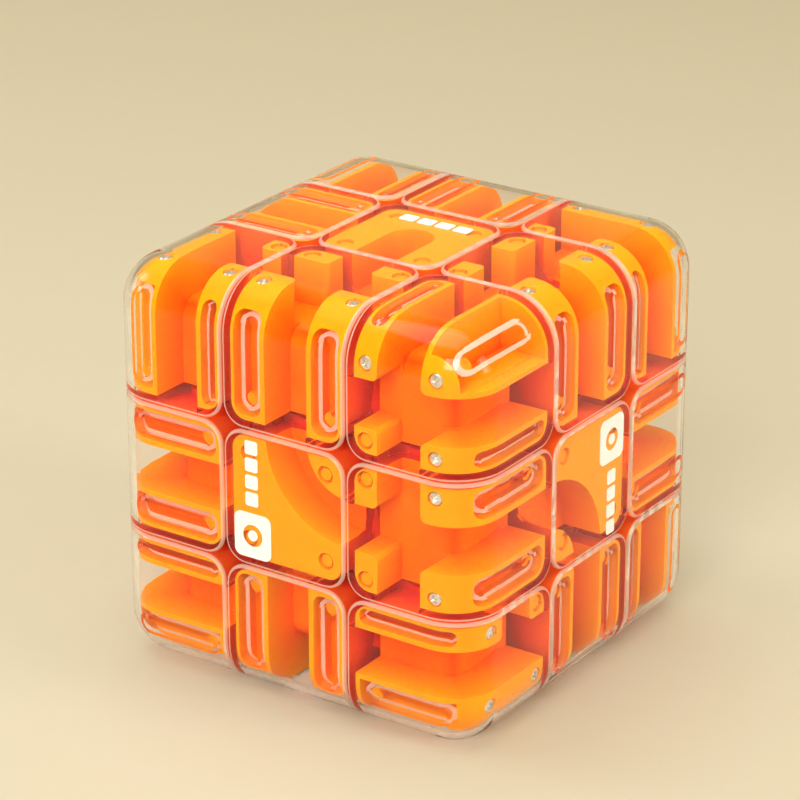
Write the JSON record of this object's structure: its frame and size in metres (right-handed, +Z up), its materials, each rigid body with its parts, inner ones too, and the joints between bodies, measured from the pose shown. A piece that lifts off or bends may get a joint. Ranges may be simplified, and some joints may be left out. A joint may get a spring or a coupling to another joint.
{
  "type": "turning cube ball maze puzzle",
  "caption": "Turning layered cube puzzle whose orange tiles carry ball channels under clear covers, with a captive ball inside.",
  "frame": {"origin": "centre of the middle piece, where the three turning axes meet, which is the centre of the cube", "axes": "+Z up through the top layer, -Y out of the front face with the ball bend, +X out of the right face"},
  "size_m": [0.093, 0.093, 0.093],
  "materials": {
    "orange_abs": "injection moulded, satin gloss, slightly translucent orange",
    "clear_cover": "clear injection moulded polystyrene, glossy",
    "white_nylon": "moulded nylon, satin",
    "zinc_plated_steel": "zinc plated",
    "polished_steel": "ground and polished"
  },
  "bodies": {
    "middle_layer": {"centre_back_base": "orange_abs", "centre_back_cover": "clear_cover", "centre_front_base": "orange_abs", "centre_front_cover": "clear_cover", "centre_left_base": "orange_abs", "centre_left_cover": "clear_cover", "centre_right_base": "orange_abs", "centre_right_cover": "clear_cover", "centre_screw_back": "zinc_plated_steel", "centre_screw_bottom": "zinc_plated_steel", "centre_screw_front": "zinc_plated_steel", "centre_screw_left": "zinc_plated_steel", "centre_screw_right": "zinc_plated_steel", "centre_screw_top": "zinc_plated_steel", "core_spider": "white_nylon", "edge_back_left_base": "orange_abs", "edge_back_left_cover": "clear_cover", "edge_back_right_base": "orange_abs", "edge_back_right_cover": "clear_cover", "edge_front_left_base": "orange_abs", "edge_front_left_cover": "clear_cover", "edge_front_right_base": "orange_abs", "edge_front_right_cover": "clear_cover"},
    "top_layer": {"centre_top_base": "orange_abs", "centre_top_cover": "clear_cover", "corner_top_back_left_base": "orange_abs", "corner_top_back_left_cover": "clear_cover", "corner_top_back_right_base": "orange_abs", "corner_top_back_right_cover": "clear_cover", "corner_top_front_left_base": "orange_abs", "corner_top_front_left_cover": "clear_cover", "corner_top_front_right_base": "orange_abs", "corner_top_front_right_cover": "clear_cover", "edge_top_back_base": "orange_abs", "edge_top_back_cover": "clear_cover", "edge_top_front_base": "orange_abs", "edge_top_front_cover": "clear_cover", "edge_top_left_base": "orange_abs", "edge_top_left_cover": "clear_cover", "edge_top_right_base": "orange_abs", "edge_top_right_cover": "clear_cover"},
    "bottom_layer": {"centre_bottom_base": "orange_abs", "centre_bottom_cover": "clear_cover", "corner_bottom_back_left_base": "orange_abs", "corner_bottom_back_left_cover": "clear_cover", "corner_bottom_back_right_base": "orange_abs", "corner_bottom_back_right_cover": "clear_cover", "corner_bottom_front_left_base": "orange_abs", "corner_bottom_front_left_cover": "clear_cover", "corner_bottom_front_right_base": "orange_abs", "corner_bottom_front_right_cover": "clear_cover", "edge_bottom_back_base": "orange_abs", "edge_bottom_back_cover": "clear_cover", "edge_bottom_front_base": "orange_abs", "edge_bottom_front_cover": "clear_cover", "edge_bottom_left_base": "orange_abs", "edge_bottom_left_cover": "clear_cover", "edge_bottom_right_base": "orange_abs", "edge_bottom_right_cover": "clear_cover"},
    "ball": {"maze_ball": "polished_steel"}
  },
  "joints": [
    {"name": "top_layer_turn", "type": "hinge", "parent": "middle_layer", "child": "top_layer", "pos_m": [0, 0, 0.031], "axis": [0, 0, 1], "continuous": true},
    {"name": "bottom_layer_turn", "type": "hinge", "parent": "middle_layer", "child": "bottom_layer", "pos_m": [0, 0, -0.031], "axis": [0, 0, 1], "continuous": true},
    {"name": "ball_travel", "type": "slide", "parent": "middle_layer", "child": "ball", "axis": [1, 0, 0], "range_m": [-0.031, 0.031]}
  ]
}
